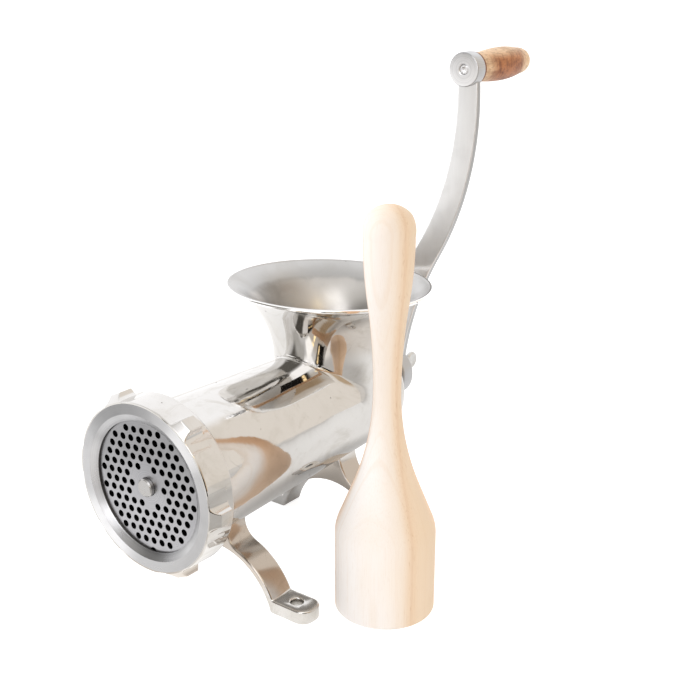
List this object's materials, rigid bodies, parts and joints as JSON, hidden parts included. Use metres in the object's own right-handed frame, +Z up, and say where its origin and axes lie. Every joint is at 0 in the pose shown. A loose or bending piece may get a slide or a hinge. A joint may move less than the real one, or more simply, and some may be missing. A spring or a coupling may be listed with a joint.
{
  "type": "hand crank meat grinder",
  "caption": "Hand crank meat grinder with flared hopper, arched bolt-down feet, eared ring nut, perforated plate, curved crank with wooden grip and a loose wooden pusher.",
  "frame": {"origin": "middle of the foot-bolt pattern on the bench plane", "axes": "+Z up along the foot bolts, -Y out of the barrel's mouth, +X to the right when looking along +Y from the mouth end"},
  "size_m": [0.2158, 0.3517, 0.3611],
  "materials": {
    "polished_steel": "mirror polished stainless casting",
    "satin_steel": "satin machined stainless",
    "bright_steel": "bright turned steel",
    "bronze": "plain bearing bronze",
    "fibre": "matt vulcanised fibre",
    "grip_wood": "oiled beech",
    "pusher_wood": "raw sanded maple"
  },
  "bodies": {
    "frame": {"body_casting": "polished_steel", "plate_key_pin": "bright_steel", "rear_bush": "bronze", "thrust_washer": "fibre"},
    "drive": {"feed_screw": "satin_steel", "knife_stud": "bright_steel", "knife": "satin_steel", "crank_arm": "satin_steel", "grip_spindle": "bright_steel", "grip_screw": "bright_steel", "grip_washer": "fibre"},
    "grip": {"grip": "grip_wood"},
    "washer": {"crank_washer": "bright_steel"},
    "thumb": {"thumb_screw": "satin_steel"},
    "plate": {"grinding_plate": "satin_steel"},
    "ring": {"ring_nut": "polished_steel"},
    "pusher": {"meat_pusher": "pusher_wood"}
  },
  "joints": [
    {"name": "crank_turn", "type": "hinge", "parent": "frame", "child": "drive", "pos_m": [0, 0, 0.1055], "axis": [0, 1, 0], "continuous": true},
    {"name": "grip_spin", "type": "hinge", "parent": "drive", "child": "grip", "pos_m": [0.064, 0.175, 0.3488], "axis": [0, 1, 0], "continuous": true},
    {"name": "plate_slide", "type": "slide", "parent": "frame", "child": "plate", "axis": [0, -1, 0], "range_m": [0, 0.0141]},
    {"name": "ring_turn", "type": "hinge", "parent": "plate", "child": "ring", "pos_m": [0, -0.13, 0.1055], "axis": [0, -1, 0], "range_deg": [0, 1260]},
    {"name": "washer_slide", "type": "slide", "parent": "drive", "child": "washer", "axis": [0, 1, 0], "range_m": [0, 0.0234]},
    {"name": "thumb_turn", "type": "hinge", "parent": "washer", "child": "thumb", "pos_m": [0, 0.14, 0.1055], "axis": [0, 1, 0], "range_deg": [0, 5580]},
    {"name": "pusher_lift", "type": "slide", "parent": "frame", "child": "pusher", "axis": [0, 0, 1], "range_m": [0, 0.3]}
  ],
  "couplings": [
    {"joint": "plate_slide", "follows": "ring_turn", "m_per_rad": 0.00063662},
    {"joint": "washer_slide", "follows": "thumb_turn", "m_per_rad": 0.00023873}
  ]
}
